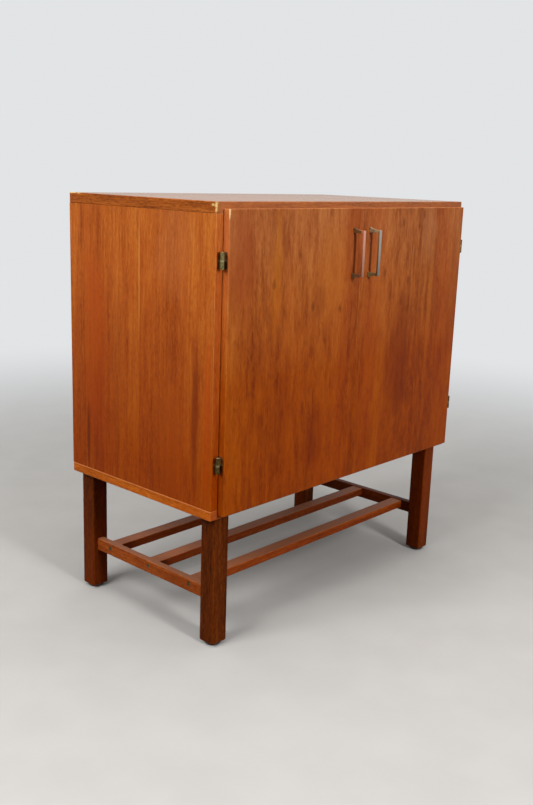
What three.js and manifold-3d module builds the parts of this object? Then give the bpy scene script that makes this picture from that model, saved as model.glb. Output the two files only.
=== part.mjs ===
// A record cabinet: a lipped and veneered carcase with two hinged doors, standing on a
// square-legged underframe with a slatted rack between the legs.
// Millimetres, +Z up. X runs along the front and Y runs from the doors to the back.
// Pieces are placed with the front edge of the carcase at y = 0. The last lines move
// everything so that the origin is under the middle of the whole object, on the floor.

import * as THREE from "three";
import { mergeVertices } from "three/addons/utils/BufferGeometryUtils.js";
import Module from "manifold-3d";

const wasm = await Module();
wasm.setup();

// Overall sizes
const overallHeight = 720;
const overallWidth = 670;
const carcaseDepth = 355;
const legClearHeight = 228;

// Carcase panels
const topThickness = 17;
const bottomThickness = 16;
const sideThickness = 16;
const lippingWidth = 5;
const panelArris = 1.1;

// Back panel, let into a rebate that runs round the back of the carcase
const backThickness = 6;
const backRecess = 3;
const rebateWidth = 6;

// Shelf, tongued into the sides, and the upright dividers between the record bays
const upperCompartmentHeight = 115;
const shelfThickness = 14;
const shelfSetback = 22;
const shelfTongueLength = 6;
const shelfTongueHeight = 8;
const dividerCount = 3;
const dividerThickness = 6;
const dividerSetback = 30;
const dividerHousing = 4;
const dividerNose = 2.4;

// Doors, laid over the front edges of the carcase
const doorThickness = 13;
const doorGap = 0.8;
const doorInset = 14;
const doorTopDrop = 10;
const doorBottomRise = 8;
const doorMeetingGap = 1;
const doorArris = 0.9;

// Lift-off hinges: two cranked leaves of brass strip whose knuckles stand on one pin, the
// door's above the carcase's. The pin stands clear of the corner between door and side.
const hingeLength = 25;
const hingeStandOff = 7.8;
const hingeLeafOuter = 2.6;
const hingeLeafInner = 6.9;
const hingeLeafThickness = 1.4;
const hingeBarrelRadius = 3.2;
const hingePinRadius = 1.6;
const hingeKnuckleGap = 0.3;
const hingeSeamGap = 0.25;
const hingePinProud = 0.4;
const hingeScrewCount = 3;
const hingeScrewPitch = 8;
const hingeScrewInner = 5;
const hingeScrewHoleRadius = 0.7;
const hingeScrewHeadRadius = 1.4;
const upperHingeDrop = 75;
const lowerHingeRise = 84.5;

// Pull handles: a flat brass bow whose two arms swell into feet at the door
const handleProjection = 22.5;
const handleWidth = 6;
const handleGripHeight = 78;
const handleGripDepth = 3.6;
const handleArmHeight = 4.8;
const handleFootHeight = 9.5;
const handleFootSpread = 77;
const handleFlareReach = 17;
const handleCornerRadius = 1.4;
const handleArris = 0.5;
const handleDrop = 75;
const handleFromDoorEdge = 22;
const handleScrewRadius = 1.5;
const handleScrewGrip = 4.5;
const handleScrewHeadRadius = 3.2;
const handleScrewHeadHeight = 2;
const handleScrewSlotWidth = 0.8;
const handleScrewSlotDepth = 0.9;

// Magnetic catch under the top, with a steel strike on each door
const catchWidth = 44;
const catchDepth = 13;
const catchHeight = 12;
const catchFlangeReach = 8;
const catchFlangeThickness = 2.4;
const catchArris = 0.8;
const catchWindowWidth = 14;
const catchWindowHeight = 6;
const catchWindowDepth = 1;
const catchScrewHoleRadius = 1.6;
const strikeWidth = 16;
const strikeHeight = 10;
const strikeThickness = 0.9;
const strikeFromDoorEdge = 4;
const strikeFromTopPanel = 1.5;
const strikeCornerRadius = 1.5;
const strikeScrewHoleRadius = 1.4;

// Underframe
const legSection = 32;
const legArris = 2.8;
const legEndEase = 2.2;
const legSideInset = 18.5;
const legFrontInset = 8;
const legBackInset = 0.5;
const legTenonRadius = 8;
const legTenonCover = 0.8;
const glideHeight = 5;
const glideRadius = 13.5;
const glideEdgeRadius = 1.5;
const glideNailRadius = 1.3;
const glideNailLength = 14;
const rackTop = 98;
const railHeight = 22.5;
const railThickness = 14;
const railArris = 1.6;
const railTenonLength = 10;
const railTenonHeight = 15;
const railTenonThickness = 6.5;
const slatCount = 3;
const slatWidth = 26;
const slatThickness = 15;
const slatArris = 1.8;
const slatDrop = 1.5;
const slatEndGap = 24;
const slatScrewHeadRadius = 4;
const slatScrewHeadDepth = 2.6;
const slatScrewRadius = 2.1;
const slatScrewLength = 38;
const slatScrewRecess = 0.4;
const slatScrewSlotWidth = 1;
const slatScrewSlotDepth = 1.3;

// Clearances, and how far a cutter passes the face that it cuts
const glueLine = 0.1;
const looseFit = 0.25;
const overrun = 2;

// Steps on curves
const arrisSteps = 2;
const barrelSteps = 8;
const handleSteps = 3;
const roundSides = 20;
const holeSides = 12;
const screwSides = 10;

// A plan corner is a little rounder than the eased edge that runs into it
const cornerShare = 1.25;
// Where the curve of a handle's arm bends, as a share of its reach
const flareShare = 0.4;

// Places worked out from the sizes above
const halfWidth = overallWidth / 2;
const legTenonLength = bottomThickness - rebateWidth - legTenonCover;
const topUnderside = overallHeight - topThickness;
const bottomSurface = legClearHeight + bottomThickness;
const innerHalfWidth = halfWidth - sideThickness;
const backFace = carcaseDepth - backRecess - backThickness;
const shelfUnderside = topUnderside - upperCompartmentHeight - shelfThickness;
const shelfCoreFront = shelfSetback + lippingWidth + glueLine;
const doorBack = -doorGap;
const doorFront = doorBack - doorThickness;
const doorTop = overallHeight - doorTopDrop;
const doorBottom = legClearHeight + doorBottomRise;
const doorSideEdge = halfWidth - doorInset;
const hingeBore = hingeBarrelRadius - hingeLeafThickness;
const hingeAxisX = doorSideEdge + hingeStandOff;
const hingeAxisY = -hingeStandOff;
const hingeHeights = { upper: doorTop - upperHingeDrop, lower: doorBottom + lowerHingeRise };
const handleX = doorMeetingGap / 2 + handleFromDoorEdge;
const handleZ = doorTop - handleDrop;
const legOuterX = halfWidth - legSideInset;
const legCentreX = legOuterX - legSection / 2;
const legCentreY = {
  front: legFrontInset + legSection / 2,
  back: carcaseDepth - legBackInset - legSection / 2,
};
const railCentreY = (legCentreY.front + legCentreY.back) / 2;
const railOuterX = legCentreX + railThickness / 2;
const railInnerX = legCentreX - railThickness / 2;
const railCentreZ = rackTop - railHeight / 2;
const railSpan = legCentreY.back - legCentreY.front - legSection;
const slatPitch = (railSpan - 2 * slatEndGap - slatWidth) / (slatCount - 1);
const slatCentreZ = rackTop - slatDrop - slatThickness / 2;

// Colours
const teakFront = { color: 0x9d4a1c, roughness: 0.45, metalness: 0 };
const teakSide = { color: 0xac5625, roughness: 0.45, metalness: 0 };
const teakLipping = { color: 0x96501f, roughness: 0.5, metalness: 0 };
const teakLeg = { color: 0x552511, roughness: 0.5, metalness: 0 };
const teakSlat = { color: 0x9c420c, roughness: 0.5, metalness: 0 };
const plywood = { color: 0xc2955e, roughness: 0.7, metalness: 0 };
const agedBrass = { color: 0x8d8148, roughness: 0.35, metalness: 1 };
const handleBrass = { color: 0xb9ab86, roughness: 0.25, metalness: 1 };
const steel = { color: 0x9a9a9a, roughness: 0.4, metalness: 1 };
const darkSteel = { color: 0x4a4438, roughness: 0.5, metalness: 1 };
const catchPlastic = { color: 0xe6dfce, roughness: 0.5, metalness: 0 };
const glidePlastic = { color: 0x1d1a18, roughness: 0.6, metalness: 0 };

// The axis that an extruded outline runs along, as a turn of its x, y and depth axes
const alongX = new THREE.Matrix4().makeBasis(
  new THREE.Vector3(0, 1, 0), new THREE.Vector3(0, 0, 1), new THREE.Vector3(1, 0, 0));
const alongY = new THREE.Matrix4().makeBasis(
  new THREE.Vector3(0, 0, 1), new THREE.Vector3(1, 0, 0), new THREE.Vector3(0, 1, 0));

// Closed geometry to a solid that can be joined and cut
function solid(geometry) {
  const bare = geometry.clone();
  bare.deleteAttribute("normal");
  bare.deleteAttribute("uv");
  const merged = mergeVertices(bare);
  const index = merged.index.array;
  const kept = [];
  for (let i = 0; i < index.length; i += 3) {
    const [a, b, c] = index.subarray(i, i + 3);
    if (a !== b && b !== c && c !== a) {
      kept.push(a, b, c);
    }
  }
  const mesh = new wasm.Mesh({
    numProp: 3,
    vertProperties: merged.attributes.position.array,
    triVerts: Uint32Array.from(kept),
  });
  return new wasm.Manifold(mesh);
}

// A solid back to geometry, with flat shading
function geometryOf(body) {
  const mesh = body.getMesh();
  const shared = new THREE.BufferGeometry();
  shared.setAttribute("position", new THREE.BufferAttribute(mesh.vertProperties, 3));
  shared.setIndex(new THREE.BufferAttribute(mesh.triVerts, 1));
  const flat = shared.toNonIndexed();
  flat.computeVertexNormals();
  return flat;
}

function cut(geometry, cutters) {
  return geometryOf(cutters.reduce((body, cutter) => body.subtract(solid(cutter)), solid(geometry)));
}

function join(geometries) {
  const [first, ...others] = geometries.map(solid);
  return geometryOf(others.reduce((body, other) => body.add(other), first));
}

// A sharp box between two values on each axis, given in any order
function block(x, y, z) {
  const size = [x, y, z].map(([from, to]) => Math.abs(to - from));
  const middle = [x, y, z].map(([from, to]) => (from + to) / 2);
  return new THREE.BoxGeometry(...size).translate(...middle);
}

// A rectangle between two values each way, with a radius for each corner: low x and low y
// first, then anticlockwise. A radius of zero leaves the corner sharp.
function cornered([x0, x1], [y0, y1], [r00, r10, r11, r01]) {
  const shape = new THREE.Shape();
  const quarter = Math.PI / 2;
  const corners = [
    [x1, y0, -r10, r10, r10, -quarter],
    [x1, y1, -r11, -r11, r11, 0],
    [x0, y1, r01, -r01, r01, quarter],
    [x0, y0, r00, r00, r00, 2 * quarter],
  ];
  shape.moveTo(x0 + r00, y0);
  for (const [x, y, insetX, insetY, radius, start] of corners) {
    if (radius > 0) {
      shape.absarc(x + insetX, y + insetY, radius, start, start + quarter);
    } else {
      shape.lineTo(x, y);
    }
  }
  return shape;
}

// A box with every edge eased: its four uprights by one radius and its ends by another
function eased(x, y, z, upright, end) {
  const low = [x, y, z].map((pair) => Math.min(...pair));
  const high = [x, y, z].map((pair) => Math.max(...pair));
  const plan = cornered([low[0], high[0]], [low[1], high[1]], [upright, upright, upright, upright]);
  return new THREE.ExtrudeGeometry(plan, {
    depth: high[2] - low[2] - 2 * end,
    bevelThickness: end,
    bevelSize: end,
    bevelOffset: -end,
    bevelSegments: arrisSteps,
    curveSegments: arrisSteps,
  }).translate(0, 0, low[2] + end);
}

// An outline pushed along Z, then turned by one of the matrices above if it is given
function pushed(shape, from, to, turn, steps) {
  const geometry = new THREE.ExtrudeGeometry(shape, {
    depth: to - from,
    bevelEnabled: false,
    curveSegments: steps,
  }).translate(0, 0, from);
  return turn ? geometry.applyMatrix4(turn) : geometry;
}

// A turned piece about Z from points of radius and height
function turned(points, sides) {
  const profile = points.map(([radius, z]) => new THREE.Vector2(radius, z));
  return new THREE.LatheGeometry(profile, sides).rotateX(Math.PI / 2);
}

function cylinder(radius, from, to, sides) {
  return turned([[0, from], [radius, from], [radius, to], [0, to]], sides);
}

const cabinet = new THREE.Group();

// Adds one named piece
function add(name, geometry, look, parent = cabinet) {
  const mesh = new THREE.Mesh(geometry, new THREE.MeshStandardMaterial(look));
  mesh.name = name;
  parent.add(mesh);
  return mesh;
}

// Both hands of a piece: -1 is the left and 1 the right
const hands = [["left", -1], ["right", 1]];
const ends = ["front", "back"];

// The hollow that the back panel drops into
function backRebate() {
  const side = innerHalfWidth + rebateWidth;
  return block(
    [-side, side],
    [backFace, carcaseDepth + overrun],
    [bottomSurface - rebateWidth, topUnderside + rebateWidth]);
}

// Where the dividers stand, evenly spaced between the sides
function dividerPlaces() {
  const bay = 2 * innerHalfWidth / (dividerCount + 1);
  return Array.from({ length: dividerCount }, (_, i) => -innerHalfWidth + bay * (i + 1));
}

// Grooves for the dividers, cut upwards or downwards from a face at height z
function dividerGrooves(z, depth) {
  const half = dividerThickness / 2 + looseFit;
  return dividerPlaces().map((x) => block(
    [x - half, x + half],
    [dividerSetback - looseFit, carcaseDepth + overrun],
    [z - overrun * Math.sign(depth), z + depth]));
}

// A panel lipped on its front and both ends, for the top and the bottom of the carcase
function lippedBoard(z) {
  const ease = [panelArris * cornerShare, panelArris];
  const slab = eased([-halfWidth, halfWidth], [0, carcaseDepth], z, ...ease);
  const inner = halfWidth - lippingWidth;
  const bed = block(
    [-inner, inner], [lippingWidth, carcaseDepth + overrun], [z[0] - overrun, z[1] + overrun]);
  const edge = inner - glueLine;
  const core = block([-edge, edge], [lippingWidth + glueLine, carcaseDepth], z);
  return { core, lipping: cut(slab, [bed]) };
}

function addTopAndBottom() {
  const top = lippedBoard([topUnderside, overallHeight]);
  add("top_panel", cut(top.core, [backRebate()]), teakFront);
  add("top_lipping", top.lipping, teakLipping);
  const bottom = lippedBoard([legClearHeight, bottomSurface]);
  const tenonHoles = hands.flatMap(([, hand]) => ends.map((end) => cylinder(
    legTenonRadius + looseFit,
    legClearHeight - overrun,
    legClearHeight + legTenonLength + looseFit,
    roundSides).translate(hand * legCentreX, legCentreY[end], 0)));
  const cutters = [backRebate(), ...tenonHoles, ...dividerGrooves(bottomSurface, -dividerHousing)];
  add("bottom_panel", cut(bottom.core, cutters), teakSide);
  add("bottom_lipping", bottom.lipping, teakLipping);
}

// The shallow beds cut for one hinge: one in the edge of a side, one in the edge of a door
function hingeBedSpan(z) {
  const half = hingeLength / 2 + looseFit;
  return [z - half, z + half];
}

function sideMortise(hand, z) {
  return block(
    [hand * (innerHalfWidth - overrun), hand * (hingeAxisX + hingeLeafOuter + looseFit)],
    [-overrun, hingeLeafThickness + looseFit],
    hingeBedSpan(z));
}

function doorMortise(hand, z) {
  return block(
    [hand * (doorSideEdge - hingeLeafThickness - looseFit), hand * (doorSideEdge + overrun)],
    [hingeAxisY - hingeLeafOuter - looseFit, doorBack + overrun],
    hingeBedSpan(z));
}

function bothHinges(mortise, hand) {
  return Object.values(hingeHeights).map((z) => mortise(hand, z));
}

function addSides() {
  const z = [bottomSurface + glueLine, topUnderside - glueLine];
  for (const [word, hand] of hands) {
    const x = [hand * innerHalfWidth, hand * halfWidth].sort((a, b) => a - b);
    const board = block(x, [lippingWidth + glueLine, carcaseDepth], z);
    const housing = block(
      [hand * (innerHalfWidth - overrun), hand * (innerHalfWidth + shelfTongueLength)],
      [shelfCoreFront - looseFit, carcaseDepth],
      [shelfUnderside - looseFit, shelfUnderside + shelfTongueHeight + looseFit]);
    add(`${word}_side_panel`, cut(board, [backRebate(), housing]), teakSide);
    const plan = cornered(x, [0, lippingWidth], [panelArris, panelArris, 0, 0]);
    const strip = pushed(plan, ...z, null, arrisSteps);
    add(`${word}_side_lipping`, cut(strip, bothHinges(sideMortise, hand)), teakLipping);
  }
}

function addBackPanel() {
  const side = innerHalfWidth + rebateWidth - looseFit;
  const z = [bottomSurface - rebateWidth + looseFit, topUnderside + rebateWidth - looseFit];
  add("back_panel", block([-side, side], [backFace + glueLine, backFace + backThickness], z), plywood);
}

// The shelf fits between the sides, and a tongue under each end runs in a groove in the side
function addShelf() {
  const z = [shelfUnderside, shelfUnderside + shelfThickness];
  const y = [shelfCoreFront, backFace - looseFit];
  const shoulder = innerHalfWidth - glueLine;
  const tongue = innerHalfWidth + shelfTongueLength - looseFit;
  const board = join([
    block([-shoulder, shoulder], y, z),
    block([-tongue, tongue], y, [shelfUnderside, shelfUnderside + shelfTongueHeight]),
  ]);
  add("shelf", cut(board, dividerGrooves(shelfUnderside, dividerHousing)), teakSide);
  const edge = cornered([shelfSetback, shelfSetback + lippingWidth], z, [panelArris, 0, 0, panelArris]);
  add("shelf_lipping", pushed(edge, -shoulder, shoulder, alongX, arrisSteps), teakLipping);
}

function addDividers() {
  const half = dividerThickness / 2;
  const reach = dividerHousing - looseFit;
  dividerPlaces().forEach((x, i) => {
    const plan = cornered([x - half, x + half], [dividerSetback, backFace - looseFit],
      [dividerNose, dividerNose, 0, 0]);
    const board = pushed(plan, bottomSurface - reach, shelfUnderside + reach, null, arrisSteps);
    add(`record_divider_${i + 1}`, board, plywood);
  });
}

// One leaf of a hinge, about a pin that stands on the Z axis. Its flat lies behind the pin, let
// into the wood. Over the lower half, or the upper, a web rises from the flat and curls round the pin.
function hingeLeaf(upper) {
  const curlEnd = Math.acos((hingeSeamGap - hingeBore) / hingeBarrelRadius);
  const back = hingeStandOff + hingeLeafThickness;
  const strip = new THREE.Shape();
  strip.moveTo(-hingeBarrelRadius, back);
  strip.lineTo(-hingeBarrelRadius, 0);
  strip.absarc(0, 0, hingeBarrelRadius, Math.PI, curlEnd + 2 * Math.PI);
  strip.absarc(0, 0, hingeBore, curlEnd, Math.PI, true);
  strip.lineTo(-hingeBore, back);
  const span = [-hingeLength / 2, -hingeKnuckleGap / 2];
  const knuckle = pushed(strip, ...span, null, barrelSteps);
  const flat = block(
    [-hingeLeafInner, hingeLeafOuter],
    [hingeStandOff, back],
    [-hingeLength / 2, hingeLength / 2]);
  if (upper) {
    knuckle.translate(0, 0, (hingeLength + hingeKnuckleGap) / 2);
  }
  return cut(join([flat, knuckle]), hingeScrewHoles());
}

// Countersunk holes in the face of the leaf that looks towards the pin, beside the web
function hingeScrewHoles() {
  const sink = hingeScrewHeadRadius - hingeScrewHoleRadius;
  const hole = turned([
    [0, -overrun],
    [hingeScrewHeadRadius, -overrun],
    [hingeScrewHeadRadius, 0],
    [hingeScrewHoleRadius, sink],
    [hingeScrewHoleRadius, hingeLeafThickness + overrun],
    [0, hingeLeafThickness + overrun],
  ], holeSides).rotateX(-Math.PI / 2);
  return Array.from({ length: hingeScrewCount }, (_, i) => hole.clone().translate(
    -hingeScrewInner, hingeStandOff, (i - (hingeScrewCount - 1) / 2) * hingeScrewPitch));
}

function hingePin() {
  const end = hingeLength / 2 + hingePinProud;
  const shoulder = hingePinRadius - hingePinProud;
  return turned([
    [0, -end],
    [shoulder, -end],
    [hingePinRadius, -hingeLength / 2],
    [hingePinRadius, hingeLength / 2],
    [shoulder, end],
    [0, end],
  ], holeSides);
}

// The door's leaf is the same leaf turned over, so that it lies in the edge of the door and its
// knuckle stands above. On the left each leaf is turned over once more.
const turnedOver = new THREE.Matrix4().makeBasis(
  new THREE.Vector3(0, -1, 0), new THREE.Vector3(-1, 0, 0), new THREE.Vector3(0, 0, -1));
const otherHand = new THREE.Matrix4().makeBasis(
  new THREE.Vector3(-1, 0, 0), new THREE.Vector3(0, 1, 0), new THREE.Vector3(0, 0, -1));

function addHinges(word, hand, door) {
  for (const [level, z] of Object.entries(hingeHeights)) {
    const seat = (geometry) => {
      const handed = hand > 0 ? geometry : geometry.applyMatrix4(otherHand);
      return handed.translate(hand * hingeAxisX, hingeAxisY, z);
    };
    const name = `${word}_${level}_hinge`;
    add(`${name}_carcase_leaf`, seat(hingeLeaf(hand < 0)), agedBrass);
    add(`${name}_door_leaf`, seat(hingeLeaf(hand < 0).applyMatrix4(turnedOver)), agedBrass, door);
    add(`${name}_pin`, seat(hingePin()), agedBrass);
  }
}

// A door is a board lipped on all four edges
function addDoorBoard(word, hand, door) {
  const x = [hand * doorMeetingGap / 2, hand * doorSideEdge].sort((a, b) => a - b);
  const z = [doorBottom, doorTop];
  const slab = eased(x, [doorFront, doorBack], z, doorArris * cornerShare, doorArris);
  const inset = (pair, by) => [pair[0] + by, pair[1] - by];
  const opening = block(
    inset(x, lippingWidth), [doorFront - overrun, doorBack + overrun], inset(z, lippingWidth));
  add(`${word}_door_lipping`, cut(slab, [opening, ...bothHinges(doorMortise, hand)]), teakLipping, door);
  const inner = lippingWidth + glueLine;
  const board = block(inset(x, inner), [doorFront, doorBack], inset(z, inner));
  const holes = handleFeet().map((foot) => cylinder(
    handleScrewRadius + looseFit, -overrun, doorThickness + overrun, holeSides)
    .rotateX(Math.PI / 2).translate(hand * handleX, doorBack, foot));
  add(`${word}_door_panel`, cut(board, holes), teakFront, door);
}

function handleFeet() {
  return [handleZ + handleFootSpread / 2, handleZ - handleFootSpread / 2];
}

// The side view of a pull, as distance from the door and height. The arms curve out to the feet.
function handleOutline() {
  const footOuter = (handleFootSpread + handleFootHeight) / 2;
  const footInner = (handleFootSpread - handleFootHeight) / 2;
  const outer = handleGripHeight / 2;
  const inner = outer - handleArmHeight;
  const grip = handleProjection - handleGripDepth;
  const bend = handleFlareReach * flareShare;
  const radius = handleCornerRadius;
  const right = Math.PI / 2;
  const side = new THREE.Shape();
  side.moveTo(0, footOuter);
  side.quadraticCurveTo(bend, outer, handleFlareReach, outer);
  side.absarc(handleProjection - radius, outer - radius, radius, right, 0, true);
  side.absarc(handleProjection - radius, radius - outer, radius, 0, -right, true);
  side.lineTo(handleFlareReach, -outer);
  side.quadraticCurveTo(bend, -outer, 0, -footOuter);
  side.lineTo(0, -footInner);
  side.quadraticCurveTo(bend, -inner, handleFlareReach, -inner);
  side.absarc(grip - radius, radius - inner, radius, -right, 0);
  side.absarc(grip - radius, inner - radius, radius, 0, right);
  side.lineTo(handleFlareReach, inner);
  side.quadraticCurveTo(bend, inner, 0, footInner);
  return side;
}

const outwards = new THREE.Matrix4().makeBasis(
  new THREE.Vector3(0, -1, 0), new THREE.Vector3(0, 0, 1), new THREE.Vector3(-1, 0, 0));

function addHandle(word, hand, door) {
  const bow = new THREE.ExtrudeGeometry(handleOutline(), {
    depth: handleWidth - 2 * handleArris,
    bevelThickness: handleArris,
    bevelSize: handleArris,
    bevelOffset: -handleArris,
    bevelSegments: arrisSteps,
    curveSegments: handleSteps,
  }).translate(0, 0, handleArris - handleWidth / 2).applyMatrix4(outwards);
  bow.translate(hand * handleX, doorFront - glueLine, handleZ);
  const reach = handleScrewGrip + looseFit;
  const bores = handleFeet().map((foot) => cylinder(
    handleScrewRadius + looseFit, -overrun, reach, holeSides)
    .rotateX(Math.PI / 2).translate(hand * handleX, doorFront - glueLine, foot));
  add(`${word}_handle`, cut(bow, bores), handleBrass, door);
  handleFeet().forEach((foot, i) => {
    const screw = handleScrew().translate(hand * handleX, doorBack + glueLine, foot);
    add(`${word}_handle_screw_${["upper", "lower"][i]}`, screw, steel, door);
  });
}

// A slotted screw put through the door from behind, with its head inside the cabinet
function handleScrew() {
  const end = doorThickness + handleScrewGrip;
  const dome = handleScrewHeadRadius - handleScrewHeadHeight / 2;
  const body = turned([
    [0, -handleScrewHeadHeight],
    [dome, -handleScrewHeadHeight],
    [handleScrewHeadRadius, -handleScrewHeadHeight / 2],
    [handleScrewHeadRadius, 0],
    [handleScrewRadius, 0],
    [handleScrewRadius, end],
    [0, end],
  ], holeSides);
  const slot = block(
    [-handleScrewHeadRadius - overrun, handleScrewHeadRadius + overrun],
    [-handleScrewSlotWidth / 2, handleScrewSlotWidth / 2],
    [-handleScrewHeadHeight - overrun, handleScrewSlotDepth - handleScrewHeadHeight]);
  return cut(body, [slot]).rotateX(Math.PI / 2);
}

// Where the strike plates and the magnets meet
const strikeFace = doorBack + glueLine + strikeThickness;
const strikeX = doorMeetingGap / 2 + strikeFromDoorEdge + strikeWidth / 2;
const strikeZ = topUnderside - strikeFromTopPanel - strikeHeight / 2;

function addStrike(word, hand, door) {
  const radius = strikeCornerRadius;
  const plate = pushed(cornered(
    [strikeZ - strikeHeight / 2, strikeZ + strikeHeight / 2],
    [hand * strikeX - strikeWidth / 2, hand * strikeX + strikeWidth / 2],
    [radius, radius, radius, radius]), doorBack + glueLine, strikeFace, alongY, arrisSteps);
  const hole = cylinder(strikeScrewHoleRadius, -overrun, strikeThickness + overrun, holeSides)
    .rotateX(-Math.PI / 2).translate(hand * strikeX, doorBack, strikeZ);
  add(`${word}_strike_plate`, cut(plate, [hole]), steel, door);
}

function addCatch() {
  const front = strikeFace + looseFit;
  const z = topUnderside - glueLine;
  const body = eased(
    [-catchWidth / 2, catchWidth / 2], [front, front + catchDepth], [z - catchHeight, z],
    catchArris * cornerShare, catchArris);
  const flangeEnd = catchWidth / 2 + catchFlangeReach;
  const flange = block([-flangeEnd, flangeEnd], [front, front + catchDepth], [z - catchFlangeThickness, z]);
  const holeX = catchWidth / 2 + catchFlangeReach / 2;
  const cutters = hands.flatMap(([, hand]) => [
    cylinder(catchScrewHoleRadius, z - catchHeight, z + overrun, holeSides)
      .translate(hand * holeX, front + catchDepth / 2, 0),
    block(
      [hand * strikeX - catchWindowWidth / 2, hand * strikeX + catchWindowWidth / 2],
      [front - overrun, front + catchWindowDepth],
      [strikeZ - catchWindowHeight / 2, strikeZ + catchWindowHeight / 2]),
  ]);
  add("magnetic_catch", cut(join([body, flange]), cutters), catchPlastic);
}

function addDoors() {
  for (const [word, hand] of hands) {
    const door = new THREE.Group();
    cabinet.add(door);
    addDoorBoard(word, hand, door);
    addHinges(word, hand, door);
    addHandle(word, hand, door);
    addStrike(word, hand, door);
  }
}

// A square leg with a round tenon into the carcase, a mortise for the rail and a hole for its glide
function addLegs() {
  for (const [word, hand] of hands) {
    for (const end of ends) {
      const x = hand * legCentreX;
      const y = legCentreY[end];
      const half = legSection / 2;
      const foot = glideHeight + glueLine;
      const head = legClearHeight - glueLine;
      const post = eased([x - half, x + half], [y - half, y + half], [foot, head], legArris, legEndEase);
      const tenon = cylinder(legTenonRadius, head - overrun, legClearHeight + legTenonLength, roundSides)
        .translate(x, y, 0);
      const nailHole = cylinder(
        glideNailRadius + looseFit, foot - overrun, glideHeight + glideNailLength + looseFit, holeSides)
        .translate(x, y, 0);
      const inwards = end === "front" ? 1 : -1;
      const mortise = block(
        [x - railTenonThickness / 2 - looseFit, x + railTenonThickness / 2 + looseFit],
        [y + inwards * (half - railTenonLength - looseFit), y + inwards * (half + overrun)],
        [railCentreZ - railTenonHeight / 2 - looseFit, railCentreZ + railTenonHeight / 2 + looseFit]);
      add(`${word}_${end}_leg`, cut(join([post, tenon]), [nailHole, mortise]), teakLeg);
      add(`${word}_${end}_glide`, glide().translate(x, y, 0), glidePlastic);
    }
  }
}

// A nail-on glide with an eased disc
function glide() {
  const edge = glideEdgeRadius;
  return turned([
    [0, 0],
    [glideRadius - edge, 0],
    [glideRadius, edge],
    [glideRadius, glideHeight - edge / 2],
    [glideRadius - edge / 2, glideHeight],
    [glideNailRadius, glideHeight],
    [glideNailRadius, glideHeight + glideNailLength - glideNailRadius],
    [0, glideHeight + glideNailLength],
  ], roundSides);
}

function slatPlaces() {
  return Array.from({ length: slatCount }, (_, i) => railCentreY + (i - (slatCount - 1) / 2) * slatPitch);
}

// The outline of one slat screw from the rim of its head to its point, measured inwards from
// the outer face of the rail, with some room round it for the hole that it sits in
function slatScrewOutline(room) {
  const shank = slatScrewRadius + room;
  const end = slatScrewLength + room;
  return [
    [slatScrewHeadRadius + room, slatScrewRecess],
    [shank, slatScrewRecess + slatScrewHeadDepth],
    [shank, end - shank],
    [0, end],
  ];
}

function slatScrewHole() {
  const mouth = [[0, -overrun], [slatScrewHeadRadius + looseFit, -overrun]];
  return turned([...mouth, ...slatScrewOutline(looseFit)], screwSides);
}

function slatScrewAt(geometry, hand, y) {
  return geometry.rotateY(-hand * Math.PI / 2).translate(hand * railOuterX, y, slatCentreZ);
}

function addRails() {
  for (const [word, hand] of hands) {
    const x = hand * legCentreX;
    const shoulder = railSpan / 2 - glueLine;
    const radii = [railArris, railArris, railArris, railArris];
    const outline = cornered(
      [rackTop - railHeight, rackTop], [x - railThickness / 2, x + railThickness / 2], radii);
    const bar = pushed(outline, railCentreY - shoulder, railCentreY + shoulder, alongY, arrisSteps);
    const tenon = railSpan / 2 + railTenonLength;
    const tongue = block(
      [x - railTenonThickness / 2, x + railTenonThickness / 2],
      [railCentreY - tenon, railCentreY + tenon],
      [railCentreZ - railTenonHeight / 2, railCentreZ + railTenonHeight / 2]);
    const holes = slatPlaces().map((y) => slatScrewAt(slatScrewHole(), hand, y));
    add(`${word}_side_rail`, cut(join([bar, tongue]), holes), teakSlat);
  }
}

function addSlats() {
  const end = railInnerX - glueLine;
  slatPlaces().forEach((y, i) => {
    const radii = [slatArris, slatArris, slatArris, slatArris];
    const outline = cornered(
      [y - slatWidth / 2, y + slatWidth / 2],
      [slatCentreZ - slatThickness / 2, slatCentreZ + slatThickness / 2], radii);
    const holes = hands.map(([, hand]) => slatScrewAt(slatScrewHole(), hand, y));
    add(`slat_${i + 1}`, cut(pushed(outline, -end, end, alongX, arrisSteps), holes), teakSlat);
    for (const [word, hand] of hands) {
      add(`slat_${i + 1}_${word}_screw`, slatScrewAt(slatScrew(), hand, y), darkSteel);
    }
  });
}

function slatScrew() {
  const slot = block(
    [-slatScrewHeadRadius - overrun, slatScrewHeadRadius + overrun],
    [-slatScrewSlotWidth / 2, slatScrewSlotWidth / 2],
    [slatScrewRecess - overrun, slatScrewRecess + slatScrewSlotDepth]);
  return cut(turned([[0, slatScrewRecess], ...slatScrewOutline(0)], screwSides), [slot]);
}

addTopAndBottom();
addSides();
addBackPanel();
addShelf();
addDividers();
addDoors();
addCatch();
addLegs();
addRails();
addSlats();

// The handles reach furthest forward, and the carcase furthest back
const foremost = doorFront - glueLine - handleProjection;
cabinet.position.y = -(carcaseDepth + foremost) / 2;
cabinet.updateMatrixWorld(true);

export default cabinet;
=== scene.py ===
import math
import random
from typing import NamedTuple

import bmesh
import bpy
from mathutils import Matrix, Vector


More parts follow.
